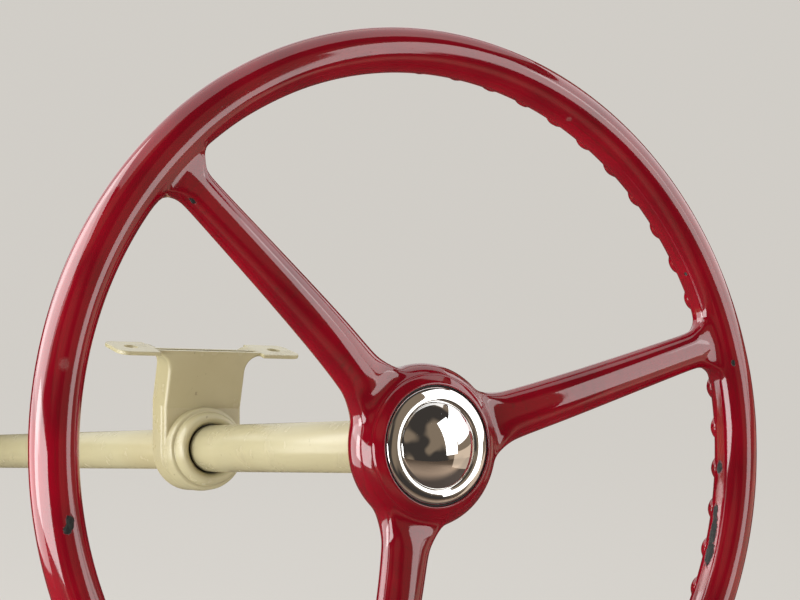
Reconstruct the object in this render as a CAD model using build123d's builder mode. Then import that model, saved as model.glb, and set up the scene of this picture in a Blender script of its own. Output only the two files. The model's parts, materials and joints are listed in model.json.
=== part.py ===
from build123d import *
import math
import os

# Steering wheel and column of a vintage car, in the attitude it has in the car.
# +Z is up, +Y points forward away from the driver, +X to the driver's right.
# The origin is on the top of the dash bracket's two feet, midway between their bolts.
# Sizes are millimetres and degrees. Stations are measured along the steering axis
# from the middle of the rim: plus towards the driver, minus down the column.

# Attitude of the column
column_rake = 15.0
spoke_turn = 17.0

# Rim and its finger grips
wheel_diameter = 432.0
rim_thickness = 23.4
grip_stand = 2.4
grip_thickness = 16.0
grip_tilt = 58.0
grip_length = 9.0
grip_crest_length = 4.6
grips_per_gap = 17
grip_start = 7.5

# Spokes
spoke_count = 3
spoke_width_hub = 26.4
spoke_width_rim = 20.0
spoke_depth_root = 16.4
spoke_depth_hub = 18.6
spoke_depth_rim = 13.0
spoke_station_hub = -4.5
spoke_station_middle = 2.2
spoke_station_rim = 0.0
hub_flare = 6.0
hub_throat_width = 28.4
hub_root_width = 44.4
rim_flare = 9.0
rim_throat_width = 29.0
rim_root_width = 42.5
rim_root_sink = 8.7

# Hub moulding
crown_width = 5.5
crown_station = 8.8
crown_fall = 2.8
bulge_stand = 6.0
bulge_radius = 13.1
bulge_station = -5.9
bulge_foot_angle = -60.0
neck_diameter = 46.0
neck_end = -40.0
neck_hollow = (2.5, 12.0)
recess_station = 2.5

# Horn push
bezel_diameter = 60.2
bezel_station = 9.7
bezel_chamfer = 1.2
dome_diameter = 45.0
dome_height = 7.0
dome_sink = 0.6
seal_width = 0.9
seal_station = 7.8

# Steel boss and shaft
boss_diameter = 38.0
boss_end = -46.0
shaft_diameter = 19.0
shaft_overhang = 62.0
shaft_tip_length = 38.0
shaft_tip_diameter = 17.5

# Column tubes and their bushes
tube_diameter = 28.5
tube_wall = 1.6
tube_start = -53.0
tube_end = -278.0
lower_tube_start = -236.0
lower_tube_end = -690.0
lower_tube_wall = 2.0
tube_foot_length = 40.0
tube_foot_diameter = 24.0
bush_length = 26.0

# Dash bracket: two pressings, one behind the other, bent to hang straight down
bracket_station = -271.5
bracket_width = 52.0
bracket_depth = 13.0
cover_depth = 6.0
bracket_wall = 2.5
crease_height = 27.5
hanger_height = 36.0
hanger_bend = 10.0
foot_width = 30.0
foot_margin = 13.0
foot_corner = 7.0
bolt_spacing = 98.0
bolt_hole_diameter = 8.4

# Collar pressed in the bracket's cover, heights above the cover's face
collar_diameter = 51.0
collar_wall = 2.0
shoulder_height = 6.5
shoulder_radius = 1.6
groove_diameter = 45.6
groove_height = 7.4
bead_diameter = 39.5
bead_height = 14.5
bead_round = 0.9
collar_hole_diameter = 31.5
collar_hole_height = 13.0
collar_bush_sink = 2.0

# Clearances
running_clearance = 0.05

# The wheel's own directions, from the rake of the column
rake_cos = math.cos(math.radians(column_rake))
rake_sin = math.sin(math.radians(column_rake))
to_driver = Vector(0, -rake_cos, rake_sin)
wheel_up = Vector(0, rake_sin, rake_cos)
crease_middle = Vector(0, 0, -hanger_height)
wheel_centre = crease_middle - wheel_up * crease_height - to_driver * bracket_station
steering_axis = Axis(wheel_centre, to_driver)
wheel_plane = Plane(origin=wheel_centre, x_dir=(1, 0, 0), z_dir=to_driver)
profile_plane = Plane(origin=wheel_centre, x_dir=(1, 0, 0), z_dir=-wheel_up)

rim_radius = rim_thickness / 2
ring_radius = wheel_diameter / 2 - rim_radius
bezel_radius = bezel_diameter / 2
recess_radius = bezel_radius + seal_width
crown_outer = recess_radius + crown_width
hub_radius = crown_outer + bulge_stand
bulge_ring = hub_radius - bulge_radius
shaft_radius = shaft_diameter / 2
tube_bore = tube_diameter / 2 - tube_wall
lower_tube_radius = tube_bore
lower_tube_bore = lower_tube_radius - lower_tube_wall

os.makedirs("parts", exist_ok=True)


def save(builder, label):
    builder.part.label = label
    export_step(builder.part, f"parts/{label}.step")


def ring(name, inner, outer, start, end):
    """A plain round sleeve about the steering axis, between two stations."""
    with BuildPart() as sleeve:
        with BuildSketch(wheel_plane.offset(end)):
            Circle(outer)
            if inner > 0:
                Circle(inner, mode=Mode.SUBTRACT)
        extrude(amount=start - end)
    save(sleeve, name)
    return sleeve


# Rim: a round moulding with finger grips on its inner, rear side.
# Each grip is a short bevelled drum whose axis lies inside the rim
grip_radius = grip_thickness / 2
grip_offset = rim_radius + grip_stand - grip_radius
grip_foot = grip_radius - grip_stand
gap_angle = 360 / spoke_count
grip_pitch = (gap_angle - 2 * grip_start) / (grips_per_gap - 1)
grip_ring = ring_radius - grip_offset * math.cos(math.radians(grip_tilt))
grip_station = -grip_offset * math.sin(math.radians(grip_tilt))
grip_middle = (grip_ring, 0, grip_station)

with BuildPart() as grip:
    with BuildSketch(Plane(origin=grip_middle, x_dir=(0, 1, 0), z_dir=(0, 0, 1))):
        with BuildLine():
            Polyline((-grip_length / 2, 0), (-grip_length / 2, grip_foot),
                     (-grip_crest_length / 2, grip_radius), (grip_crest_length / 2, grip_radius),
                     (grip_length / 2, grip_foot), (grip_length / 2, 0), (-grip_length / 2, 0))
        make_face()
    revolve(axis=Axis(grip_middle, (0, 1, 0)))

with BuildPart(wheel_plane) as rim:
    with BuildSketch(profile_plane):
        with Locations((ring_radius, 0)):
            Circle(rim_radius)
    revolve(axis=steering_axis)
    grip_turns = [
        spoke_turn + gap * gap_angle + grip_start + place * grip_pitch
        for gap in range(spoke_count)
        for place in range(grips_per_gap)
    ]
    add([grip.part.rotate(Axis.Z, turn) for turn in grip_turns])
save(rim, "rim")

# Hub moulding: a round bulge that carries the spokes, a raised crown that
# slopes away from the horn push, and a neck that runs back to the steel boss
groove_station = bulge_station + math.sqrt(bulge_radius**2 - (crown_outer - bulge_ring) ** 2)
groove_angle = math.degrees(math.atan2(groove_station - bulge_station, crown_outer - bulge_ring))
foot_cos = math.cos(math.radians(bulge_foot_angle))
foot_sin = math.sin(math.radians(bulge_foot_angle))
bulge_foot = (bulge_ring + bulge_radius * foot_cos, bulge_station + bulge_radius * foot_sin)
neck_radius = neck_diameter / 2
neck_middle = (neck_radius + neck_hollow[0], neck_end + neck_hollow[1])

with BuildSketch() as hub_section:
    with BuildLine():
        Line((0, neck_end), (neck_radius, neck_end))
        ThreePointArc((neck_radius, neck_end), neck_middle, bulge_foot)
        CenterArc((bulge_ring, bulge_station), bulge_radius, bulge_foot_angle,
                  groove_angle - bulge_foot_angle)
        Polyline((crown_outer, groove_station), (crown_outer, crown_station - crown_fall),
                 (recess_radius, crown_station), (recess_radius, recess_station),
                 (0, recess_station), (0, neck_end))
    make_face()

with BuildPart() as hub_shell:
    with BuildSketch(profile_plane):
        add(hub_section.sketch_local)
    revolve(axis=steering_axis)
    with BuildSketch(wheel_plane.offset(neck_end)):
        Circle(boss_diameter / 2)
    extrude(amount=recess_station - neck_end, mode=Mode.SUBTRACT)
save(hub_shell, "hub_shell")

# Spokes: oval tapering arms that flare where they meet the hub and the rim
inner_rim_radius = ring_radius - rim_radius
blade_start = hub_radius + hub_flare
blade_end = inner_rim_radius - rim_flare
blade_parts = 4
spoke_sections = [
    # distance from the axis, width, depth, station of the middle
    (bulge_ring, hub_root_width, spoke_depth_root, spoke_station_hub),
    (hub_radius, hub_throat_width, spoke_depth_root, spoke_station_hub),
]
for place in range(blade_parts + 1):
    along = place / blade_parts
    middle_rise = spoke_station_middle * (1 - (2 * along - 1) ** 2)
    spoke_sections.append(
        (
            blade_start + along * (blade_end - blade_start),
            spoke_width_hub + along * (spoke_width_rim - spoke_width_hub),
            spoke_depth_hub + along * (spoke_depth_rim - spoke_depth_hub),
            spoke_station_hub + along * (spoke_station_rim - spoke_station_hub) + middle_rise,
        )
    )
spoke_sections += [
    (inner_rim_radius, rim_throat_width, spoke_depth_rim, spoke_station_rim),
    (inner_rim_radius + rim_root_sink, rim_root_width, spoke_depth_rim, spoke_station_rim),
]

with BuildPart() as spoke_blank:
    for distance, width, depth, middle in spoke_sections:
        with BuildSketch(Plane.YZ.offset(distance)):
            with Locations((0, middle)):
                Ellipse(width / 2, depth / 2)
    loft()
    with BuildSketch(Plane.XZ):
        with Locations((ring_radius, 0)):
            Circle(rim_radius)
        add(hub_section.sketch_local)
        with Locations((crown_outer / 2, recess_station)):
            Rectangle(crown_outer, 2 * crown_station)
    revolve(axis=Axis.Z, mode=Mode.SUBTRACT)

for number in range(spoke_count):
    with BuildPart(wheel_plane) as spoke:
        with PolarLocations(0, 1, start_angle=spoke_turn + number * gap_angle):
            add(spoke_blank.part)
    save(spoke, f"spoke_{number + 1}")

# Horn push: a bright bezel ring and a domed button, in a black seal
dome_radius = dome_diameter / 2
ring("push_seal", bezel_radius, recess_radius, seal_station, recess_station)

with BuildPart() as push_bezel:
    with BuildSketch(profile_plane):
        with BuildLine():
            Polyline((dome_radius, recess_station), (bezel_radius, recess_station),
                     (bezel_radius, bezel_station - bezel_chamfer),
                     (bezel_radius - bezel_chamfer, bezel_station),
                     (dome_radius, bezel_station - dome_sink), (dome_radius, recess_station))
        make_face()
    revolve(axis=steering_axis)
save(push_bezel, "push_bezel")

dome_foot = bezel_station - dome_sink
dome_rise = dome_height + dome_sink
dome_sphere = (dome_radius**2 + dome_rise**2) / (2 * dome_rise)
dome_angle = math.degrees(math.asin(dome_radius / dome_sphere))

with BuildPart() as horn_push:
    with BuildSketch(profile_plane):
        with BuildLine():
            Polyline((0, recess_station), (dome_radius, recess_station), (dome_radius, dome_foot))
            CenterArc((0, dome_foot + dome_rise - dome_sphere), dome_sphere, 90 - dome_angle,
                      dome_angle)
            Line((0, dome_foot + dome_rise), (0, recess_station))
        make_face()
    revolve(axis=steering_axis)
save(horn_push, "horn_push")

# Steel boss in the hub, and the shaft that turns in the column
ring("hub_boss", shaft_radius, boss_diameter / 2, recess_station, boss_end)

shaft_end = lower_tube_end - shaft_overhang
with BuildPart() as steering_shaft:
    with BuildSketch(profile_plane):
        with BuildLine():
            Polyline((0, recess_station), (shaft_radius, recess_station),
                     (shaft_radius, shaft_end + shaft_tip_length),
                     (shaft_tip_diameter / 2, shaft_end + shaft_tip_length),
                     (shaft_tip_diameter / 2, shaft_end), (0, shaft_end), (0, recess_station))
        make_face()
    revolve(axis=steering_axis)
save(steering_shaft, "steering_shaft")

# Column tubes, the upper one slipped over the lower one, whose foot is turned
# down for its clamp, and the shaft's bushes
ring("upper_tube", tube_bore, tube_diameter / 2, tube_start, tube_end)

tube_foot_start = lower_tube_end + tube_foot_length
with BuildPart() as lower_tube:
    with BuildSketch(profile_plane):
        with BuildLine():
            Polyline((lower_tube_bore, lower_tube_start), (lower_tube_radius, lower_tube_start),
                     (lower_tube_radius, tube_foot_start), (tube_foot_diameter / 2, tube_foot_start),
                     (tube_foot_diameter / 2, lower_tube_end), (lower_tube_bore, lower_tube_end),
                     (lower_tube_bore, lower_tube_start))
        make_face()
    revolve(axis=steering_axis)
save(lower_tube, "lower_tube")

bush_bore = shaft_radius + running_clearance
ring("upper_bush", bush_bore, tube_bore, tube_start, tube_start - bush_length)
ring("lower_bush", bush_bore, lower_tube_bore, lower_tube_end + bush_length, lower_tube_end)

# The bracket's two pressings stand square to the column below their crease, and
# hang straight down from the rail above it, where a station becomes a place along Y
half_width = bracket_width / 2
cover_front = bracket_station + (bracket_depth + cover_depth) / 2
bracket_front = cover_front - cover_depth
bracket_back = bracket_front - bracket_depth
bend_middle = half_width + hanger_bend
bend_height = hanger_bend + bracket_wall
crease_plane = Plane.XY.offset(-hanger_height)


def draw_channel_outline(inset):
    """U outline round the column, open upwards."""
    Circle(half_width - inset)
    with Locations((0, crease_height)):
        Rectangle(2 * (half_width - inset), 2 * crease_height)


def draw_hanger_outline(inset):
    """Outline above the crease, whose sides curl outwards to the rail."""
    with Locations((0, -hanger_height / 2)):
        Rectangle(2 * (half_width - inset), hanger_height)
    with Locations((0, -bend_height / 2)):
        Rectangle(2 * bend_middle, bend_height)
    with Locations((-bend_middle, -bend_height), (bend_middle, -bend_height)):
        Circle(hanger_bend + inset, mode=Mode.SUBTRACT)


def hanger_plane(station):
    """The upright plane that meets a plane square to the column at the crease."""
    return Plane.XZ.offset((station - bracket_station) / rake_cos)


# Rear pressing: an open channel with a web in front, and two bolted feet
with BuildPart() as dash_bracket:
    with BuildSketch(wheel_plane.offset(bracket_back)):
        draw_channel_outline(0)
    extrude(amount=bracket_depth)
    with BuildSketch(wheel_plane.offset(bracket_back)):
        draw_channel_outline(bracket_wall)
    extrude(amount=bracket_depth - bracket_wall, mode=Mode.SUBTRACT)
    with BuildSketch(wheel_plane.offset(bracket_front)):
        Circle(tube_diameter / 2)
    extrude(amount=-bracket_wall, mode=Mode.SUBTRACT)
    split(bisect_by=crease_plane, keep=Keep.BOTTOM)
    with BuildSketch(hanger_plane(bracket_back)):
        draw_hanger_outline(0)
    extrude(amount=bracket_depth / rake_cos)
    with BuildSketch(hanger_plane(bracket_back)):
        draw_hanger_outline(bracket_wall)
    extrude(amount=(bracket_depth - bracket_wall) / rake_cos, mode=Mode.SUBTRACT)
    with BuildSketch(Plane.XY) as feet:
        foot_length = bolt_spacing / 2 + foot_margin - bend_middle
        for side in (-1, 1):
            with Locations((side * (bend_middle + foot_length / 2), 0)):
                Rectangle(foot_length, foot_width)
        foot_corners = feet.vertices().group_by(Axis.X)
        fillet(foot_corners[0] + foot_corners[-1], foot_corner)
        with Locations((-bolt_spacing / 2, 0), (bolt_spacing / 2, 0)):
            Circle(bolt_hole_diameter / 2, mode=Mode.SUBTRACT)
    extrude(amount=-bracket_wall)
save(dash_bracket, "dash_bracket")

# Front pressing: a shallow pan, open behind, with a collar for the column.
# The collar rises to a shoulder, dips in a groove and swells to a bead round its hole
collar_radius = collar_diameter / 2
collar_hole = collar_hole_diameter / 2
groove_radius = groove_diameter / 2
bead_radius = bead_diameter / 2
shoulder_point = (collar_radius - shoulder_radius, cover_front + shoulder_height)
shoulder_foot = (collar_radius, shoulder_point[1] - shoulder_radius)
groove_point = (groove_radius, cover_front + groove_height)
bead_point = (bead_radius, cover_front + bead_height)
hole_point = (collar_hole, cover_front + collar_hole_height)
bead_outside = (groove_radius - bead_round, bead_point[1] - 2.5 * bead_round)
bead_inside = ((bead_radius + collar_hole) / 2, bead_point[1] - bead_round / 2)
inside_radius = collar_radius - collar_wall
pan_inside = cover_front - bracket_wall

with BuildPart() as bracket_cover:
    with BuildSketch(wheel_plane.offset(bracket_front)):
        draw_channel_outline(0)
    extrude(amount=cover_depth)
    split(bisect_by=crease_plane, keep=Keep.BOTTOM)
    with BuildSketch(hanger_plane(bracket_front)):
        draw_hanger_outline(0)
    extrude(amount=cover_depth / rake_cos)
    with BuildSketch(wheel_plane.offset(bracket_front)):
        draw_channel_outline(bracket_wall)
    hollow_pan = extrude(amount=cover_depth - bracket_wall, mode=Mode.PRIVATE)
    add(split(hollow_pan, bisect_by=crease_plane, keep=Keep.BOTTOM, mode=Mode.PRIVATE), mode=Mode.SUBTRACT)
    with BuildSketch(hanger_plane(bracket_front)):
        draw_hanger_outline(bracket_wall)
    extrude(amount=(cover_depth - bracket_wall) / rake_cos, mode=Mode.SUBTRACT)
    with BuildSketch(wheel_plane.offset(bracket_front)):
        Circle(inside_radius)
    extrude(amount=cover_depth, mode=Mode.SUBTRACT)
    with BuildSketch(profile_plane):
        with BuildLine():
            Line((inside_radius, pan_inside), (collar_radius, pan_inside))
            Line((collar_radius, pan_inside), shoulder_foot)
            RadiusArc(shoulder_foot, shoulder_point, -shoulder_radius)
            Line(shoulder_point, groove_point)
            ThreePointArc(groove_point, bead_outside, bead_point)
            ThreePointArc(bead_point, bead_inside, hole_point)
            Polyline(hole_point, (collar_hole, hole_point[1] - collar_wall),
                     (bead_radius, bead_point[1] - collar_wall),
                     (groove_radius - collar_wall, groove_point[1]),
                     (inside_radius, shoulder_foot[1] - collar_wall), (inside_radius, pan_inside))
        make_face()
    revolve(axis=steering_axis)
save(bracket_cover, "bracket_cover")

# Rubber sleeve between the collar and the column
ring("collar_bush", tube_diameter / 2, collar_hole, hole_point[1] - collar_bush_sink, bracket_front)
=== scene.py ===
import json
import math
from contextlib import contextmanager

import bpy
from mathutils import Matrix, Vector


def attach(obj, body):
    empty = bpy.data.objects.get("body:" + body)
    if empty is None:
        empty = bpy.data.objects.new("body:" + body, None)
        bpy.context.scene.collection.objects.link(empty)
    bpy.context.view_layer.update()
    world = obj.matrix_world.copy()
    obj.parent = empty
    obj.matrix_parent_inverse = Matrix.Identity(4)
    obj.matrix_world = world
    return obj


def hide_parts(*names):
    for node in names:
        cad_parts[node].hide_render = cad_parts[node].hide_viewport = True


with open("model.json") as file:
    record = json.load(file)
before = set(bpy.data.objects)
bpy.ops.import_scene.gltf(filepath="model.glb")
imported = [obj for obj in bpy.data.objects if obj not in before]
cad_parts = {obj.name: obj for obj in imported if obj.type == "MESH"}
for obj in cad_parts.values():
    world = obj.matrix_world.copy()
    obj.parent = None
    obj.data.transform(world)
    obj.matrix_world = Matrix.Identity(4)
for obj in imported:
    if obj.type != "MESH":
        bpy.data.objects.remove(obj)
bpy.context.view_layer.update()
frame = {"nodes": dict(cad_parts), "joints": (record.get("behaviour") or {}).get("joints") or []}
bpy.ops.object.select_all(action="DESELECT")

# The steering axis gives every piece its place: the joint's own point is the middle of
# the rim, and its direction points at the driver. Pieces are modelled in the wheel's own
# directions, which are right, up and towards the driver.
steering = frame["joints"][0]
wheel_centre = Vector(steering["pos_m"])
to_driver = Vector(steering["axis"]).normalized()
wheel_right = Vector((1, 0, 0))
wheel_up = to_driver.cross(wheel_right)
wheel_frame = Matrix((wheel_right, wheel_up, to_driver)).transposed().to_4x4()
wheel_frame.translation = wheel_centre

# Camera: a long lens beside the driver, as high as the wheel, a little rolled. Its place
# and its aim are in the wheel's own directions.
lens_length = 93.2
sensor_width = 36.0
camera_place = Vector((-0.56595, -0.00563, 0.89927))
camera_aim = Vector((-0.01686, 0.07421, 0.0))
camera_roll = math.radians(-7.6)

eye = wheel_frame @ camera_place
looking = (wheel_frame @ camera_aim - eye).normalized()
camera_turn = looking.to_track_quat("-Z", "Y").to_matrix() @ Matrix.Rotation(-camera_roll, 3, "Z")
bpy.ops.object.camera_add(location=eye)
camera = bpy.context.object
camera.rotation_euler = camera_turn.to_euler()
camera.data.lens = lens_length
camera.data.sensor_width = sensor_width
bpy.context.scene.camera = camera
bpy.context.scene.view_settings.view_transform = "Standard"

# Studio: one pale sweep of floor and wall under and behind the object, and soft boxes at
# its sides, above and ahead. Far away the floor only glows, so no lamp draws an edge on
# it. In gloss the floor and the sky are dark and brown, so that each soft box stands out.
floor_drop = 0.42
floor_reach = 3.0
sweep_round = 1.2
sweep_steps = 24
floor_tone = (0.80, 0.77, 0.72, 1)
floor_seen = (0.42, 0.405, 0.38, 1)
far_floor_seen = (0.03, 0.029, 0.027, 1)
no_glow = (0, 0, 0, 1)
near_glow = 0.37
far_glow = 0.78
near_reach = 0.4
far_reach = 1.0
brown_in_gloss = (0.07, 0.05, 0.04, 1)
tan_in_gloss = (0.44, 0.32, 0.23, 1)
tan_edge = -1.1
brown_edge = -0.7
warm_tone = (1.0, 0.80, 0.62)
sky_tone = (0.17, 0.155, 0.145, 1)
sky_behind = (0.64, 0.615, 0.575, 1)
shade_in_gloss = (0.050, 0.043, 0.038, 1)
warm_in_gloss = (0.25, 0.19, 0.135, 1)
patch_scale = 1.6
patch_detail = 1.0
patch_low = 0.44
patch_high = 0.58


class Signal:
    """A shader socket that takes part in plain arithmetic by adding Math nodes."""

    def __init__(self, nodes, socket):
        self.nodes = nodes
        self.socket = socket

    def math(self, operation, *others):
        values = dict(enumerate((self, *others)))
        return self.nodes.node("Math", {"operation": operation}, values)

    def __add__(self, other):
        return self.math("ADD", other)

    def __sub__(self, other):
        return self.math("SUBTRACT", other)

    def __rsub__(self, other):
        return self.math("MULTIPLY", -1.0).math("ADD", other)

    def __mul__(self, other):
        return self.math("MULTIPLY", other)

    def __truediv__(self, other):
        return self.math("DIVIDE", other)

    def __pow__(self, other):
        return self.math("POWER", other)

    __radd__ = __add__
    __rmul__ = __mul__

    def between(self, low, high):
        """0 below low, 1 above high, and a smooth step from one to the other."""
        values = {"Value": self, "From Min": low, "From Max": high}
        return self.nodes.node("MapRange", {"interpolation_type": "SMOOTHSTEP"}, values)


class NodeTree:
    """The nodes of a material or of the sky, all made by one method."""

    def __init__(self, tree):
        self.tree = tree

    def node(self, kind, settings=None, values=None, output=0):
        made = self.tree.nodes.new("ShaderNode" + kind)
        for name, value in (settings or {}).items():
            setattr(made, name, value)
        for name, value in (values or {}).items():
            if isinstance(value, Signal):
                self.tree.links.new(value.socket, made.inputs[name])
            else:
                made.inputs[name].default_value = value
        return Signal(self, made.outputs[output])

    def mix(self, share, first, second):
        """Colour: first where share is 0, second where it is 1."""
        return self.node("MixRGB", values={"Fac": share, "Color1": first, "Color2": second})


class Finish(NodeTree):
    """A material in the making: its shader, its nodes and the place on the piece."""

    def __init__(self, name, shader_values):
        self.material = bpy.data.materials.new(name)
        self.material.use_nodes = True
        super().__init__(self.material.node_tree)
        self.shader = self.tree.nodes["Principled BSDF"]
        for socket, value in shader_values.items():
            self.shader.inputs[socket].default_value = value
        self.place = self.node("TexCoord", output="Object")

    def noise(self, scale, detail):
        values = {"Vector": self.place, "Scale": scale, "Detail": detail}
        return self.node("TexNoise", values=values)

    def bump(self, height, distance):
        return self.node("Bump", values={"Height": height, "Distance": distance})

    def feed(self, **signals):
        """Links what varies over the surface, as in feed(Base_Color=paint)."""
        for name, signal in signals.items():
            self.tree.links.new(signal.socket, self.shader.inputs[name.replace("_", " ")])

    def coat(self, piece):
        """Gives the whole piece this finish and no other."""
        piece.data.materials.clear()
        piece.data.materials.append(self.material)


def select_where(piece, wanted):
    """Selects the vertices whose place passes the test, and their edges and faces."""
    mesh = piece.data
    for vertex in mesh.vertices:
        vertex.select = wanted(vertex.co)
    chosen = [vertex.select for vertex in mesh.vertices]
    for edge in mesh.edges:
        edge.select = all(chosen[v] for v in edge.vertices)
    for face in mesh.polygons:
        face.select = all(chosen[v] for v in face.vertices)


def select_only(*pieces):
    """Selects these pieces and no others; the first one is the active one."""
    bpy.ops.object.select_all(action="DESELECT")
    for piece in pieces:
        piece.select_set(True)
    bpy.context.view_layer.objects.active = pieces[0]


@contextmanager
def editing(piece):
    """Edit mode on one piece, for the operators inside the with block."""
    bpy.context.view_layer.objects.active = piece
    bpy.ops.object.mode_set(mode="EDIT")
    yield
    bpy.ops.object.mode_set(mode="OBJECT")


def draw_out(move, extrude=bpy.ops.mesh.extrude_edges_move):
    """Extrudes what is selected in edit mode, by default its edges."""
    extrude(TRANSFORM_OT_translate={"value": move})


def apply_modifier(piece, kind, **settings):
    select_only(piece)
    bpy.ops.object.modifier_add(type=kind)
    modifier = piece.modifiers[-1]
    for name, value in settings.items():
        setattr(modifier, name, value)
    bpy.ops.object.modifier_apply(modifier=modifier.name)


bpy.ops.mesh.primitive_plane_add(size=2 * floor_reach, location=(0, 0, -floor_drop))
floor = bpy.context.object
floor.name = "floor"
select_where(floor, lambda place: place.y > 0)
with editing(floor):
    draw_out((0, 0, floor_reach))
apply_modifier(floor, "BEVEL", width=sweep_round, segments=sweep_steps)
bpy.ops.object.shade_smooth()

paper = Finish("floor_paper", {"Roughness": 0.9, "Emission Strength": 1.0})
seen_by_eye = paper.node("LightPath", output="Is Camera Ray")
seen_in_gloss = paper.node("LightPath", output="Is Glossy Ray")
right, forward = (
    paper.node("SeparateXYZ", values={"Vector": paper.place}, output=axis) for axis in "XY"
)
far = ((right * right + forward * forward) ** 0.5).between(near_reach, far_reach)
inside = paper.mix(forward.between(tan_edge, brown_edge), tan_in_gloss, brown_in_gloss)
unseen = paper.mix(seen_in_gloss, floor_tone, inside)
glow = seen_by_eye * (far * (far_glow - near_glow) + near_glow)
paper.feed(
    Base_Color=paper.mix(seen_by_eye, unseen, paper.mix(far, floor_seen, far_floor_seen)),
    Emission_Color=paper.mix(glow, no_glow, floor_tone),
)
paper.coat(floor)


def softbox(name, place, width, height, brightness, tone=(1, 1, 1), gloss_only=False):
    """A rectangular lamp that faces the wheel, as bright as the number says where it is
    seen. Its place is in the wheel's own directions."""
    bpy.ops.object.light_add(type="AREA", location=wheel_frame @ Vector(place))
    lamp = bpy.context.object
    lamp.name = name
    lamp.rotation_euler = (lamp.location - wheel_centre).to_track_quat("Z", "Y").to_euler()
    lamp.data.shape = "RECTANGLE"
    lamp.data.size = width
    lamp.data.size_y = height
    lamp.data.energy = brightness * math.pi * width * height
    lamp.data.color = tone
    lamp.visible_camera = False
    lamp.visible_diffuse = not gloss_only


# What the wheel mirrors. The last one, a pane at its left, shows in gloss alone.
softbox("right_softbox", (1.02, 0.33, 1.17), width=0.66, height=1.38, brightness=2.4)
softbox("far_right_softbox", (1.22, 0.60, 0.24), width=1.50, height=0.86, brightness=2.0)
softbox("left_softbox", (-1.28, -0.14, 0.12), width=1.40, height=0.60, brightness=5.6)
softbox("top_softbox", (0.05, 1.30, -0.17), width=2.2, height=1.4, brightness=0.95)
softbox("front_softbox", (-0.10, 0.80, -1.20), width=2.6, height=1.0, brightness=0.95)
softbox("front_left_softbox", (-1.17, 0.56, -0.45), width=1.5, height=1.0, brightness=1.5)
softbox("door_softbox", (1.30, -0.30, 0.25), width=1.4, height=0.55, brightness=0.50, tone=warm_tone)
softbox("left_pane", (-0.65, 0.20, -0.36), width=0.80, height=1.15, brightness=3.0, gloss_only=True)

sky = bpy.data.worlds.new("studio")
bpy.context.scene.world = sky
sky.use_nodes = True
air = NodeTree(sky.node_tree)
patches = air.node("TexNoise", values={"Scale": patch_scale, "Detail": patch_detail})
patched = air.mix(patches.between(patch_low, patch_high), shade_in_gloss, warm_in_gloss)
around = air.mix(air.node("LightPath", output="Is Glossy Ray"), sky_tone, patched)
behind = air.mix(air.node("LightPath", output="Is Camera Ray"), around, sky_behind)
air.tree.links.new(behind.socket, air.tree.nodes["Background"].inputs["Color"])

# Steering shaft and boss: bright turned steel, oiled, with a film of brown on it.
# The shaft is pressed and keyed in the boss, and its tip is turned down for a coupling.
shaft_radius = 0.0095
shaft_top = 0.0025
shaft_end = -0.752
shaft_tip_radius = 0.00875
shaft_tip_length = 0.038
shaft_tip_step = 0.0008
boss_radius = 0.019
boss_end = -0.046
bright_steel = (0.50, 0.48, 0.45, 1)
brown_steel = (0.26, 0.19, 0.13, 1)
weld_distance = 1e-6


def settle(name):
    """Names the active piece and moves its place, turn and scale into its mesh."""
    piece = bpy.context.object
    piece.name = name
    piece.data.name = name
    bpy.ops.object.transform_apply()
    return piece


def close_and_face_out(piece):
    """Merges doubled points, closes what is open with a cap and points faces outwards."""
    with editing(piece):
        bpy.ops.mesh.select_all(action="SELECT")
        bpy.ops.mesh.remove_doubles(threshold=weld_distance)
        bpy.ops.mesh.select_all(action="DESELECT")
        bpy.ops.mesh.select_non_manifold()
        bpy.ops.mesh.edge_face_add()
        bpy.ops.mesh.select_all(action="SELECT")
        bpy.ops.mesh.normals_make_consistent(inside=False)


def turned(name, outline, sides, edge_round=0.0):
    """A round piece about the steering axis: a ring of edges, extruded and resized along
    an outline of (radius, station) pairs. Radius 0 ends it in a point."""
    radius, station = outline[0]
    bpy.ops.mesh.primitive_circle_add(vertices=sides, radius=radius, location=(0, 0, station))
    piece = settle(name)
    with editing(piece):
        bpy.ops.mesh.select_all(action="SELECT")
        for next_radius, next_station in outline[1:]:
            draw_out((0, 0, next_station - station))
            if next_radius == 0:
                bpy.ops.mesh.merge(type="CENTER")
                break
            share = next_radius / radius
            bpy.ops.transform.resize(value=(share, share, 1), center_override=(0, 0, next_station))
            radius, station = next_radius, next_station
    close_and_face_out(piece)
    if edge_round:
        apply_modifier(piece, "BEVEL", width=edge_round, segments=2, limit_method="ANGLE")
    return piece


def tube_outline(bore, outside, start, end):
    """Closed outline of a plain sleeve."""
    return [(bore, start), (outside, start), (outside, end), (bore, end), (bore, start)]


def put_in_place(piece, body, finish, slot_name, *nodes, smooth_angle=35):
    """Takes a piece from the wheel's own directions to its place, finished and fixed."""
    select_only(piece)
    bpy.ops.object.shade_smooth_by_angle(angle=math.radians(smooth_angle))
    piece.matrix_world = wheel_frame
    bpy.ops.object.transform_apply()
    finish.coat(piece)
    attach(piece, body)
    if nodes:
        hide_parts(*nodes)
    bpy.ops.object.select_all(action="DESELECT")


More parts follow.
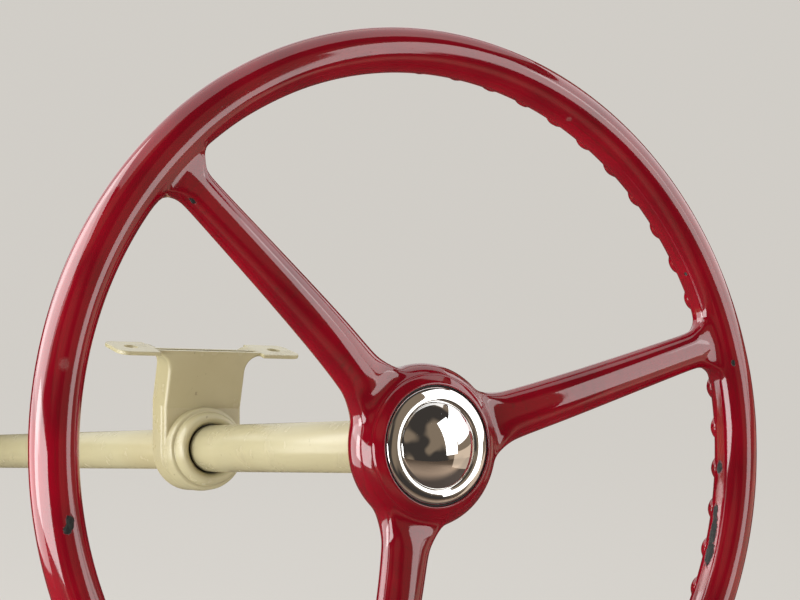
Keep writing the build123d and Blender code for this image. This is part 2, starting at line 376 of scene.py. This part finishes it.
steel = Finish("oiled_steel", {"Metallic": 1.0})
tarnish = steel.noise(scale=140, detail=6).between(0.45, 0.75)
steel.feed(
    Base_Color=steel.mix(tarnish, bright_steel, brown_steel),
    Roughness=tarnish * 0.25 + 0.26,
    Normal=steel.bump(steel.noise(scale=900, detail=2), distance=0.00002),
)
tip_start = shaft_end + shaft_tip_length
shaft_outline = [
    (shaft_radius, shaft_top), (shaft_radius, tip_start),
    (shaft_tip_radius, tip_start - shaft_tip_step), (shaft_tip_radius, shaft_end),
]
shaft = turned("turned_shaft", shaft_outline, sides=64, edge_round=0.0006)
put_in_place(shaft, "wheel", steel, "steel", "steering_shaft")
boss_outline = tube_outline(shaft_radius, boss_radius, shaft_top, boss_end)
boss = turned("turned_boss", boss_outline, sides=72, edge_round=0.0008)
put_in_place(boss, "wheel", steel, "steel", "hub_boss")

# Bushes: plain sintered bronze sleeves, dull and oily, pressed in the two tubes.
# The shaft turns in them, and only their ends show.
dark_pore = (0.20, 0.12, 0.06, 1)
bronze_tone = (0.50, 0.34, 0.17, 1)

bronze = Finish("sintered_bronze", {"Metallic": 1.0, "Roughness": 0.45})
pores = bronze.noise(scale=1500, detail=2).between(0.35, 0.65)
bronze.feed(
    Base_Color=bronze.mix(pores, dark_pore, bronze_tone),
    Normal=bronze.bump(pores, distance=0.00003),
)
for node in ("upper_bush", "lower_bush"):
    bronze.coat(frame["nodes"][node])

# Column tubes: drawn steel, sprayed with cream enamel that has yellowed and gathered
# dirt. The upper one slips over the lower one, whose foot is turned down for a clamp.
tube_radius = 0.01425
tube_wall = 0.0016
tube_start = -0.053
tube_end = -0.278
lower_tube_radius = tube_radius - tube_wall
lower_tube_wall = 0.002
lower_tube_start = -0.236
lower_tube_end = -0.690
clamp_seat_radius = 0.012
clamp_seat_length = 0.040
clamp_seat_step = 0.0005
cream = (0.50, 0.455, 0.275, 1)
old_cream = (0.41, 0.34, 0.18, 1)
grime = (0.10, 0.075, 0.045, 1)

enamel = Finish("cream_enamel", {"IOR": 1.5})
yellowed = enamel.noise(scale=14, detail=4).between(0.35, 0.75)
specks = enamel.noise(scale=260, detail=2).between(0.72, 0.76)
film = enamel.noise(scale=60, detail=6).between(0.5, 0.9)
paint = enamel.mix(yellowed * 0.45, cream, old_cream)
paint = enamel.mix(film * 0.20, paint, grime)
paint = enamel.mix(specks * 0.35, paint, grime)
enamel.feed(Base_Color=paint, Roughness=film * 0.2 + 0.24)

lower_bore = lower_tube_radius - lower_tube_wall
clamp_seat_start = lower_tube_end + clamp_seat_length
lower_tube_outline = [
    (lower_bore, lower_tube_start), (lower_tube_radius, lower_tube_start),
    (lower_tube_radius, clamp_seat_start), (clamp_seat_radius, clamp_seat_start - clamp_seat_step),
    (clamp_seat_radius, lower_tube_end), (lower_bore, lower_tube_end), (lower_bore, lower_tube_start),
]
lower_tube = turned("painted_lower_tube", lower_tube_outline, sides=96, edge_round=0.0003)
put_in_place(lower_tube, "column", enamel, "cream_paint", "lower_tube")
upper_tube_outline = tube_outline(lower_tube_radius, tube_radius, tube_start, tube_end)
upper_tube = turned("painted_upper_tube", upper_tube_outline, sides=96, edge_round=0.0004)
put_in_place(upper_tube, "column", enamel, "cream_paint", "upper_tube")

# Dash bracket: two steel pressings, one behind the other, both in the column's enamel.
# Each is a plate with its edge folded back. Above the crease the front one wraps over
# the rear one, and the sides curl out to two feet, which are bolted up from below.
plate_width = 0.052
plate_wall = 0.0025
edge_round = 0.0023
rear_inset = 0.0003
crease_height = 0.0275
crease_station = -0.2715
hanger_height = 0.036
hanger_bend = 0.010
bend_steps = 8
cover_face = -0.262
cover_depth = 0.0044
cover_hole = 0.0185
fold_step = 0.0005
joint_gap = 0.0012
bracket_back = -0.281
fold_smooth_angle = 13
touching = 1e-5
sharp_angle = math.radians(50)

rake = math.atan2(to_driver.z, -to_driver.y)
straight_up = Vector((0, math.cos(rake), math.sin(rake)))
half_plate = plate_width / 2
bend_start = hanger_height - hanger_bend - plate_wall
rear_face = cover_face - cover_depth - joint_gap


def highest(piece):
    return max(vertex.co.y for vertex in piece.data.vertices)


def select_edges(piece, wanted):
    """Selects the edges that pass the test, and their ends."""
    mesh = piece.data
    picked = [edge for edge in mesh.edges if wanted(edge)]
    select_where(piece, lambda place: False)
    for edge in picked:
        edge.select = True
        for end in edge.vertices:
            mesh.vertices[end].select = True


def open_border(piece, wanted):
    """Selects the edges that have only one face and whose middle passes the test."""
    mesh = piece.data
    faces_on = {}
    for face in mesh.polygons:
        for key in face.edge_keys:
            faces_on[key] = faces_on.get(key, 0) + 1

    def middle(edge):
        start, end = (mesh.vertices[v].co for v in edge.vertices)
        return (start + end) / 2

    select_edges(piece, lambda edge: faces_on.get(edge.key) == 1 and wanted(middle(edge)))


def keep_selected(piece, wanted):
    """Narrows the selection to the edges with both ends where the test says."""
    places = piece.data.vertices
    select_edges(piece, lambda edge: edge.select and all(wanted(places[v].co) for v in edge.vertices))


def pressing(name, face, half_width, low_depth, high_depth, hole_radius):
    """A plate square to the column, with a U outline that turns upright at the crease and
    curls outwards at the top, a hole for the column and its edge folded back, by the
    low depth below the crease and the high depth above it."""
    bpy.ops.mesh.primitive_circle_add(vertices=96, radius=half_width, location=(0, 0, face))
    piece = settle(name)
    crease = crease_height - (face - crease_station) * math.tan(rake)
    draw_point = bpy.ops.mesh.extrude_vertices_move

    # The outline: the U, its two ends run up past the crease, and each end's curl.
    select_where(piece, lambda place: place.y > touching)
    with editing(piece):
        bpy.ops.mesh.delete(type="VERT")
    select_where(piece, lambda place: place.y > -touching)
    with editing(piece):
        draw_out((0, crease, 0), draw_point)
        draw_out(straight_up * bend_start, draw_point)
    turns = [math.pi / 2 * step / bend_steps for step in range(bend_steps + 1)]
    for side in (-1, 1):
        select_where(piece, lambda place: place.y > crease + touching and place.x * side > 0)
        with editing(piece):
            for low, high in zip(turns, turns[1:]):
                outwards = Vector((side * (math.cos(low) - math.cos(high)), 0, 0))
                upwards = straight_up * (math.sin(high) - math.sin(low))
                draw_out((outwards + upwards) * hanger_bend, draw_point)
    curl_top = highest(piece)
    select_where(piece, lambda place: place.y > curl_top - touching)
    with editing(piece):
        draw_out(straight_up * plate_wall, draw_point)

    # The face: the upright part above the crease, and the U round the column's hole.
    top = highest(piece)
    for low, high in ((top, top), (crease, crease), (crease, top)):
        select_where(piece, lambda place: low - touching < place.y < high + touching)
        with editing(piece):
            bpy.ops.mesh.edge_face_add()
    select_where(piece, lambda place: False)
    with editing(piece):
        bpy.ops.mesh.primitive_circle_add(vertices=64, radius=hole_radius, location=(0, 0, face))
    select_where(piece, lambda place: place.y < crease + touching)
    with editing(piece):
        bpy.ops.mesh.fill()

    # The outline's edge folded back: along the column below the crease, level above it.
    well_inside = (hole_radius + half_width) / 2
    open_border(piece, lambda place: place.xy.length > well_inside and place.y < curl_top - touching)
    bpy.context.tool_settings.mesh_select_mode = (False, True, False)
    for depth, lowest in ((low_depth, -plate_width), (high_depth - low_depth, crease - touching)):
        if depth > 0:
            keep_selected(piece, lambda place: place.y > lowest)
            with editing(piece):
                draw_out((0, 0, -depth))
            keep_selected(piece, lambda place: place.y > crease - touching)
            with editing(piece):
                bpy.ops.transform.translate(value=(0, depth * math.tan(rake), 0))
    bpy.context.tool_settings.mesh_select_mode = (True, False, False)

    select_where(piece, lambda place: True)
    with editing(piece):
        bpy.ops.mesh.normals_make_consistent(inside=False)
    if sum(plate.normal.z * plate.area for plate in piece.data.polygons) < 0:
        with editing(piece):
            bpy.ops.mesh.flip_normals()
    apply_modifier(
        piece, "BEVEL", width=edge_round, segments=8, limit_method="ANGLE", angle_limit=sharp_angle
    )
    apply_modifier(piece, "SOLIDIFY", thickness=plate_wall, offset=-1)
    return piece


cover_fold = cover_face - bracket_back - fold_step
cover = pressing("pressed_cover", cover_face, half_plate, cover_depth, cover_fold, cover_hole)
rear_fold = rear_face - bracket_back
rear = pressing("pressed_bracket", rear_face, half_plate - rear_inset, rear_fold, rear_fold, tube_radius)
put_in_place(cover, "column", enamel, "cream_paint", "bracket_cover", smooth_angle=fold_smooth_angle)

# Feet: flat plates with a bolt hole, run out from the rear pressing's curled sides. One
# is made at its place in the car, and the other is the same one turned half round.
foot_length = 0.026
foot_width = 0.030
foot_corner = 0.007
foot_lap = 0.001
foot_edge_round = 0.0005
bolt_place = 0.049
bolt_hole = 0.0042


def copy_turned(piece, angle):
    """A copy with its own mesh, turned by an angle about Z."""
    twin = piece.copy()
    twin.data = piece.data.copy()
    bpy.context.scene.collection.objects.link(twin)
    twin.rotation_euler.z = angle
    return twin


def join(first, *others):
    """Joins the other pieces into the first one."""
    select_only(first, *others)
    bpy.ops.object.join()


foot_start = half_plate + hanger_bend
bpy.ops.mesh.primitive_plane_add(size=1, location=(foot_start + (foot_length - foot_lap) / 2, 0, 0))
bpy.context.object.scale = (foot_length + foot_lap, foot_width, 1)
foot = settle("foot")
select_where(foot, lambda place: place.x > foot_start)
with editing(foot):
    bpy.ops.mesh.bevel(offset=foot_corner, segments=6, affect="VERTICES")
    bpy.ops.mesh.select_all(action="SELECT")
    bpy.ops.mesh.delete(type="ONLY_FACE")
    bpy.ops.mesh.primitive_circle_add(vertices=32, radius=bolt_hole, location=(bolt_place, 0, 0))
    bpy.ops.mesh.select_all(action="SELECT")
    bpy.ops.mesh.fill()
    bpy.ops.mesh.normals_make_consistent(inside=False)
if foot.data.polygons[0].normal.z < 0:
    with editing(foot):
        bpy.ops.mesh.flip_normals()
apply_modifier(foot, "SOLIDIFY", thickness=plate_wall, offset=-1)
apply_modifier(
    foot, "BEVEL", width=foot_edge_round, segments=2, limit_method="ANGLE", angle_limit=sharp_angle
)
feet = [foot, copy_turned(foot, math.pi)]
select_only(*feet)
bpy.ops.object.transform_apply()
for foot in feet:
    foot.matrix_world = wheel_frame.inverted()
join(rear, *feet)
put_in_place(rear, "column", enamel, "cream_paint", "dash_bracket", smooth_angle=fold_smooth_angle)

# Collar: raised in the front pressing round the column, with a shoulder, a groove and a
# round bead whose lip comes down close to the tube. It is a ring of its own here, and
# its foot lies under the plate round the hole.
collar_radius = 0.0255
collar_foot = -0.0026
collar_lap = 0.0005
shoulder_height = 0.0065
groove_radius = 0.0226
groove_height = shoulder_height + 0.0011
bead_height = 0.0145
bead_start = math.radians(8)
bead_end = math.radians(164)
bead_steps = 14
mouth_radius = 0.0149
mouth_top = 0.0105
mouth_bottom = 0.0082
mouth_flare = 0.0020

collar_outline = [
    # foot under the plate and wall, as radius and height above the plate
    (cover_hole - collar_lap, collar_foot),
    (collar_radius + 0.0004, -0.0016),
    (collar_radius + 0.0001, 0.0006),
    # round shoulder
    (collar_radius - 0.0001, shoulder_height - 0.0020),
    (collar_radius - 0.0004, shoulder_height - 0.0010),
    (collar_radius - 0.0010, shoulder_height - 0.0003),
    (collar_radius - 0.0018, shoulder_height),
    # groove
    (collar_radius - 0.0024, shoulder_height + 0.0001),
    (collar_radius - 0.0028, shoulder_height + 0.0005),
    (groove_radius, groove_height),
]
bead_half = (groove_radius - mouth_radius) / 2
bead_rise = bead_height - groove_height
for step in range(bead_steps + 1):
    bead_angle = bead_start + (bead_end - bead_start) * step / bead_steps
    collar_outline.append((
        mouth_radius + bead_half + bead_half * math.cos(bead_angle),
        groove_height + bead_rise * math.sin(bead_angle),
    ))
collar_outline += [
    # mouth, and back to the foot
    (mouth_radius, mouth_top), (mouth_radius, mouth_bottom),
    (mouth_radius + mouth_flare, collar_foot), (cover_hole - collar_lap, collar_foot),
]
on_plate = [(radius, cover_face + height) for radius, height in collar_outline]
collar = turned("pressed_collar", on_plate, sides=96)
put_in_place(collar, "column", enamel, "cream_paint")

# Rubber: a sleeve that centres the column in the collar, and the seal round the horn
# push. Both are black, dull and dusty, and held by their own squeeze.
sleeve_lip = -0.2510
seal_top = 0.0078
seal_inside = 0.0301
seal_outside = 0.0310
seal_foot = 0.0025
dull_black = (0.012, 0.012, 0.012, 1)
dust_tone = (0.06, 0.055, 0.045, 1)

rubber = Finish("black_rubber", {"IOR": 1.45})
dust = rubber.noise(scale=420, detail=4).between(0.45, 0.80)
rubber.feed(
    Base_Color=rubber.mix(dust, dull_black, dust_tone),
    Roughness=dust * 0.25 + 0.50,
    Normal=rubber.bump(rubber.noise(scale=1800, detail=2), distance=0.00005),
)
sleeve_outline = tube_outline(tube_radius, mouth_radius, sleeve_lip, rear_face - plate_wall)
sleeve = turned("rubber_sleeve", sleeve_outline, sides=72, edge_round=0.0004)
put_in_place(sleeve, "column", rubber, "black_rubber", "collar_bush")
seal_outline = tube_outline(seal_inside, seal_outside, seal_foot, seal_top)
seal = turned("rubber_seal", seal_outline, sides=96, edge_round=0.0003)
put_in_place(seal, "wheel", rubber, "black_rubber", "push_seal")

# Moulding: rim, spokes and hub are one piece of crimson plastic, moulded hot over a
# steel core, so each form runs into the next by a fillet. Each is a coarse cage here,
# and a root is bridged from cage to cage before all of it is smoothed at once.
rim_radius = 0.0117
ring_radius = 0.2043
spoke_count = 3
spoke_gap = 2 * math.pi / spoke_count
spoke_turn = math.radians(17)
rim_sides = 20
rim_step = 2 * math.pi / rim_sides
root_steps = 6
root_angle = math.radians(9.6)
gap_steps = 24
hub_sides = 45
hub_root_angle = math.radians(48)


def cage_share(step):
    """How much further out a cage lies than the smooth round that it draws."""
    return 3 / (2 + math.cos(step))


def off_spoke(place):
    """Angle from a place to the nearest spoke, about the steering axis."""
    turn_from_spoke = math.atan2(place.y, place.x) - spoke_turn
    return (turn_from_spoke + spoke_gap / 2) % spoke_gap - spoke_gap / 2


def open_for_spokes(piece, half_angle, low, high, inner, outer):
    """Takes out the faces of a piece that lie under the spokes' roots."""
    select_where(piece, lambda place: False)
    for face in piece.data.polygons:
        x, y, z = face.center
        near = abs(off_spoke(face.center)) < half_angle
        face.select = near and low < z < high and inner < math.hypot(x, y) < outer
    with editing(piece):
        bpy.ops.mesh.select_mode(type="FACE")
        bpy.ops.mesh.delete(type="FACE")
        bpy.ops.mesh.select_mode(type="VERT")


bpy.ops.mesh.primitive_circle_add(
    vertices=rim_sides, radius=rim_radius * cage_share(rim_step),
    location=(ring_radius, 0, 0), rotation=(math.pi / 2, 0, 0),
)
moulding = settle("red_moulding")
with editing(moulding):
    bpy.ops.mesh.select_all(action="SELECT")
    for number in range(spoke_count):
        for steps, sweep in ((root_steps, root_angle), (gap_steps, spoke_gap - root_angle)):
            bpy.ops.mesh.spin(steps=steps, angle=sweep, center=(0, 0, 0), axis=(0, 0, 1))
moulding.rotation_euler.z = spoke_turn - root_angle / 2
bpy.ops.object.transform_apply()
close_and_face_out(moulding)
opening_height = rim_radius * math.sin(2 * rim_step)
open_for_spokes(moulding, root_angle / 2, -opening_height, opening_height, 0, ring_radius)

recess_radius = seal_outside
recess_floor = seal_foot
crown_radius = 0.0365
crown_top = 0.0088
bulge_ring = 0.0294
bulge_radius = 0.0131
bulge_station = -0.0059
bulge_step = 19.5
bulge_end_step = 18
bulge_root_steps = 4
root_high = 38
root_low = root_high - bulge_root_steps * bulge_step
neck_radius = 0.023
neck_end = -0.040


def on_bulge(angle):
    """A point of the cage round the hub's bulge, by its angle up from the wheel's plane."""
    reach = bulge_radius * cage_share(math.radians(bulge_step))
    up = math.radians(angle)
    return (bulge_ring + reach * math.cos(up), bulge_station + reach * math.sin(up))


hub_outline = [
    # floor and wall of the recess for the horn push
    (boss_radius, recess_floor), (recess_radius - 0.0006, recess_floor),
    (recess_radius, recess_floor + 0.0006), (recess_radius, crown_top - 0.0012),
    # crown round the recess
    (recess_radius, crown_top - 0.0003), (recess_radius + 0.0005, crown_top + 0.0001),
    (recess_radius + 0.0018, crown_top - 0.0005), (crown_radius - 0.0015, crown_top - 0.0020),
    (crown_radius - 0.0004, crown_top - 0.0028), (crown_radius + 0.0001, crown_top - 0.0036),
    (crown_radius + 0.0008, crown_top - 0.0040),
    # bulge that the spokes run into
    on_bulge(root_high + bulge_end_step),
    *[on_bulge(root_high - step * bulge_step) for step in range(bulge_root_steps + 1)],
    on_bulge(root_low - bulge_end_step),
    # flare down to the neck
    (0.0330, -0.0195), (0.0288, -0.0230), (0.0258, -0.0275), (0.0243, -0.0330),
    # neck, its end and the bore for the boss
    (neck_radius + 0.0002, neck_end + 0.0015), (neck_radius, neck_end + 0.0003),
    (neck_radius - 0.0006, neck_end), (boss_radius, neck_end), (boss_radius, recess_floor),
]
hub_share = cage_share(2 * math.pi / hub_sides)
hub_cage = [(radius * hub_share, station) for radius, station in hub_outline]
hub = turned("hub", hub_cage, sides=hub_sides)
hub.rotation_euler.z = spoke_turn + hub_root_angle / 2 - math.pi / 2
select_only(hub)
bpy.ops.object.transform_apply()
root_top = on_bulge(root_high)[1]
root_bottom = on_bulge(root_low)[1]
open_for_spokes(hub, hub_root_angle / 2, root_bottom, root_top, crown_radius, ring_radius)

spoke_sections = [
    # distance from the axis, half width, half depth, station of the middle
    (0.0500, 0.01365, 0.00945, -0.0042),
    (0.0560, 0.01295, 0.00950, -0.0034),
    (0.0660, 0.01250, 0.00945, -0.0019),
    (0.0820, 0.01210, 0.00925, 0.0),
    (0.1050, 0.01150, 0.00890, 0.0009),
    (0.1300, 0.01090, 0.00830, 0.0012),
    (0.1550, 0.01040, 0.00760, 0.0011),
    (0.1700, 0.01015, 0.00710, 0.0010),
    (0.1790, 0.01010, 0.00680, 0.0010),
    (0.1845, 0.01055, 0.00665, 0.0009),
]
distance, half_width, half_depth, station = spoke_sections[0]
bpy.ops.mesh.primitive_circle_add(
    vertices=rim_sides, radius=half_width * cage_share(rim_step),
    location=(distance, 0, station), rotation=(math.pi / 2, 0, math.pi / 2),
)
spoke = settle("spoke")
with editing(spoke):
    bpy.ops.mesh.select_all(action="SELECT")
    bpy.ops.transform.resize(
        value=(1, 1, half_depth / half_width), center_override=(distance, 0, station)
    )
    for next_distance, next_width, next_depth, next_station in spoke_sections[1:]:
        draw_out((next_distance - distance, 0, next_station - station))
        bpy.ops.transform.resize(
            value=(1, next_width / half_width, next_depth / half_depth),
            center_override=(next_distance, 0, next_station),
        )
        distance, half_width, half_depth, station = next_distance, next_width, next_depth, next_station
spoke_turns = [spoke_turn + number * spoke_gap for number in range(spoke_count)]
join(moulding, hub, *[copy_turned(spoke, angle) for angle in spoke_turns])
bpy.data.objects.remove(spoke)

root_joints = (
    # from and to, as distances from the axis
    (0.030, 0.052),
    (0.180, 0.210),
)
for angle in spoke_turns:
    along_spoke = Vector((math.cos(angle), math.sin(angle), 0))
    for inner, outer in root_joints:
        open_border(moulding, lambda place: inner < place.dot(along_spoke) < outer
                    and abs(off_spoke(place)) < hub_root_angle)
        with editing(moulding):
            bpy.ops.mesh.select_mode(type="EDGE")
            bpy.ops.mesh.bridge_edge_loops()
            bpy.ops.mesh.select_mode(type="VERT")
close_and_face_out(moulding)
apply_modifier(moulding, "SUBSURF", levels=2, render_levels=2)

# The crimson is polished, scuffed by hands and chipped to its dark core on the inside of
# the rim. Its streaks run round the rim, and each mark has its place on the wheel.
deep_red = (0.14, 0.0005, 0.006, 1)
full_red = (0.30, 0.0008, 0.011, 1)
brown_film = (0.10, 0.012, 0.008, 1)
dark_core = (0.004, 0.006, 0.005, 1)
grey_core = (0.022, 0.029, 0.024, 1)
worn_red = (0.30, 0.085, 0.08, 1)
streaks_round = 7
streaks_across = 450

crimson = Finish("crimson_plastic", {"IOR": 1.75})
on_wheel = crimson.node("Mapping", {"vector_type": "TEXTURE"}, {
    "Vector": crimson.place, "Location": wheel_centre, "Rotation": wheel_frame.to_euler(),
})
across, upward, outward = (
    crimson.node("SeparateXYZ", values={"Vector": on_wheel}, output=axis) for axis in "XYZ"
)
reach = (across * across + upward * upward) ** 0.5
round_the_rim = crimson.node("CombineXYZ", values={
    "X": across / reach * streaks_round, "Y": upward / reach * streaks_round,
    "Z": outward * streaks_across,
})
streaks = crimson.node("TexNoise", {"noise_dimensions": "4D"}, {
    "Vector": round_the_rim, "W": reach * streaks_across, "Scale": 1.0, "Detail": 3.0,
})
ragged = crimson.noise(scale=700, detail=3) * 0.9 - 0.45


def nearness(marks):
    """Distance to the nearest mark, as a share of that mark's size, with ragged edges."""
    nearest = None
    for rim_angle, ring_distance, height, half_length, half_width in marks:
        turned_by = math.radians(rim_angle)
        place = (ring_distance * math.cos(turned_by), ring_distance * math.sin(turned_by), height)
        from_mark = crimson.node("Mapping", {"vector_type": "TEXTURE"}, {
            "Vector": on_wheel, "Location": place, "Rotation": (0, 0, turned_by),
            "Scale": (half_width, half_length, half_width),
        })
        share = crimson.node("VectorMath", {"operation": "LENGTH"}, {"Vector": from_mark}, "Value")
        nearest = nearest.math("MINIMUM", share) if nearest else share
    return nearest + ragged


chips = 1 - nearness([
    # angle round the rim, distance from the axis, station, half length, half width
    (-3.7, 0.1913, 0.0000, 0.0042, 0.0028),
    (-10.9, 0.1924, -0.0004, 0.0040, 0.0022),
    (-14.4, 0.1926, 0.0004, 0.0110, 0.0027),
    (-18.0, 0.1926, 0.0009, 0.0080, 0.0032),
    (13.3, 0.1996, 0.0106, 0.0020, 0.0012),
    (29.6, 0.1929, 0.0028, 0.0010, 0.0009),
    (189.8, 0.2034, 0.0117, 0.0036, 0.0022),
    (190.7, 0.2052, 0.0115, 0.0022, 0.0022),
    (139.3, 0.1800, 0.0040, 0.0010, 0.0030),
    (66.0, 0.0392, 0.0035, 0.0009, 0.0007),
    (59.5, 0.0392, 0.0035, 0.0011, 0.0007),
    (51.0, 0.0404, 0.0033, 0.0012, 0.0008),
    (37.5, 0.0424, 0.0030, 0.0009, 0.0007),
]).between(0.80, 1.05)
scuffs = 1 - nearness([
    # the same five measures
    (169.6, 0.2072, 0.0113, 0.0030, 0.0026),
    (63.9, 0.1948, 0.0068, 0.0016, 0.0016),
    (-8.0, 0.1926, 0.0010, 0.0070, 0.0030),
    (-22.5, 0.1930, 0.0020, 0.0090, 0.0030),
    (47.0, 0.0405, 0.0040, 0.0080, 0.0045),
    (205.0, 0.1990, 0.0100, 0.0060, 0.0025),
]).between(0.55, 1.30)
clouds = crimson.noise(scale=26, detail=3).between(0.32, 0.70)
fine_dirt = crimson.noise(scale=900, detail=4).between(0.66, 0.76)
rubbed = crimson.noise(scale=1400, detail=2).between(0.35, 0.60)
red = crimson.mix(clouds * 0.55, full_red, deep_red)
red = crimson.mix(streaks.between(0.52, 0.80) * 0.5, red, brown_film)
red = crimson.mix(scuffs * (rubbed * 0.6 + 0.2), red, worn_red)
red = crimson.mix(fine_dirt * 0.35, red, brown_film)
core = crimson.mix(crimson.noise(scale=520, detail=4).between(0.42, 0.62), dark_core, grey_core)
relief = chips * -1.0 + scuffs * ragged * 0.10 + streaks * 0.012 + fine_dirt * 0.02
crimson.feed(
    Base_Color=crimson.mix(chips, red, core),
    Roughness=clouds * 0.03 + streaks.between(0.50, 0.85) * 0.10 + scuffs * 0.28 + chips * 0.9 + 0.045,
    Normal=crimson.bump(relief, distance=0.0005),
)
put_in_place(
    moulding, "wheel", crimson, "red_moulding",
    "rim", "spoke_1", "spoke_2", "spoke_3", "hub_shell", smooth_angle=60,
)

# Grips: small round knobs for the fingers, moulded with the rim along its inner, rear
# side between the spokes. One knob is modelled and copied round the wheel.
grips_per_gap = 17
grip_start = math.radians(7.5)
grip_tilt = math.radians(58)
grip_offset = 0.0061
grip_radius = 0.008
grip_half_length = 0.0084

grip_pitch = (spoke_gap - 2 * grip_start) / (grips_per_gap - 1)
grip_ring = ring_radius - grip_offset * math.cos(grip_tilt)
grip_station = -grip_offset * math.sin(grip_tilt)
bpy.ops.mesh.primitive_uv_sphere_add(
    segments=24, ring_count=12, radius=grip_radius, location=(grip_ring, 0, grip_station)
)
bpy.context.object.scale.y = grip_half_length / grip_radius
knob = settle("knob")
join(*[
    copy_turned(knob, angle + grip_start + number * grip_pitch)
    for angle in spoke_turns for number in range(grips_per_gap)
])
grips = settle("finger_grips")
bpy.data.objects.remove(knob)
put_in_place(grips, "wheel", crimson, "red_moulding", smooth_angle=60)

# Horn push: a spun brass dome and a bezel ring round it, both plated bright. The
# button sits a little proud in the bezel, with a fine dark joint between them.
bezel_radius = seal_inside
bezel_top = 0.0097
bezel_lap = 0.001
dome_radius = 0.0225
dome_rise = 0.0076
dome_foot = 0.0091
dome_gap = 0.0004
dome_rings = 24
plated_tone = (0.83, 0.83, 0.82, 1)
pit_tone = (0.22, 0.19, 0.16, 1)

chrome = Finish("bright_chrome", {"Metallic": 1.0})
hairlines = chrome.noise(scale=2600, detail=2).between(0.62, 0.72)
pits = chrome.noise(scale=1300, detail=3).between(0.72, 0.78)
ripple = chrome.noise(scale=70, detail=2)
chrome.feed(
    Base_Color=chrome.mix(pits * 0.7, plated_tone, pit_tone),
    Roughness=hairlines * 0.05 + pits * 0.4 + 0.025,
    Normal=chrome.bump(ripple * 0.25 + pits * -0.3, distance=0.00006),
)
bezel_bore = dome_radius - bezel_lap
flat_end = dome_radius + 0.0030
roll_start = bezel_radius - 0.0014
roll_top = bezel_top - 0.0007
bezel_outline = [
    # foot and outer wall
    (bezel_bore, recess_floor), (bezel_radius, recess_floor), (bezel_radius, roll_top - 0.0014),
    # outer edge, rolled over
    (bezel_radius - 0.0002, roll_top - 0.0008), (bezel_radius - 0.0007, roll_top - 0.0003),
    (roll_start, roll_top), (roll_start - 0.0012, bezel_top - 0.0003),
    # flat top, inner edge and the ledge under the dome
    (flat_end, bezel_top), (dome_radius + 0.0012, bezel_top), (dome_radius + 0.0005, bezel_top - 0.0001),
    (dome_radius, dome_foot), (bezel_bore, dome_foot - 0.0006), (bezel_bore, recess_floor),
]
bezel = turned("plated_bezel", bezel_outline, sides=128, edge_round=0.0002)
put_in_place(bezel, "wheel", chrome, "chrome", "push_bezel")

dome_sphere = (dome_radius**2 + dome_rise**2) / (2 * dome_rise)
dome_angle = math.asin(dome_radius / dome_sphere)
dome_outline = [(dome_radius - dome_gap, recess_floor), (dome_radius - dome_gap, dome_foot)]
for ring in range(1, dome_rings + 1):
    angle = dome_angle * (1 - ring / dome_rings)
    height = dome_foot + dome_rise - dome_sphere * (1 - math.cos(angle))
    dome_outline.append((dome_sphere * math.sin(angle), height))
dome = turned("plated_push", dome_outline, sides=128)
put_in_place(dome, "wheel", chrome, "chrome", "horn_push")
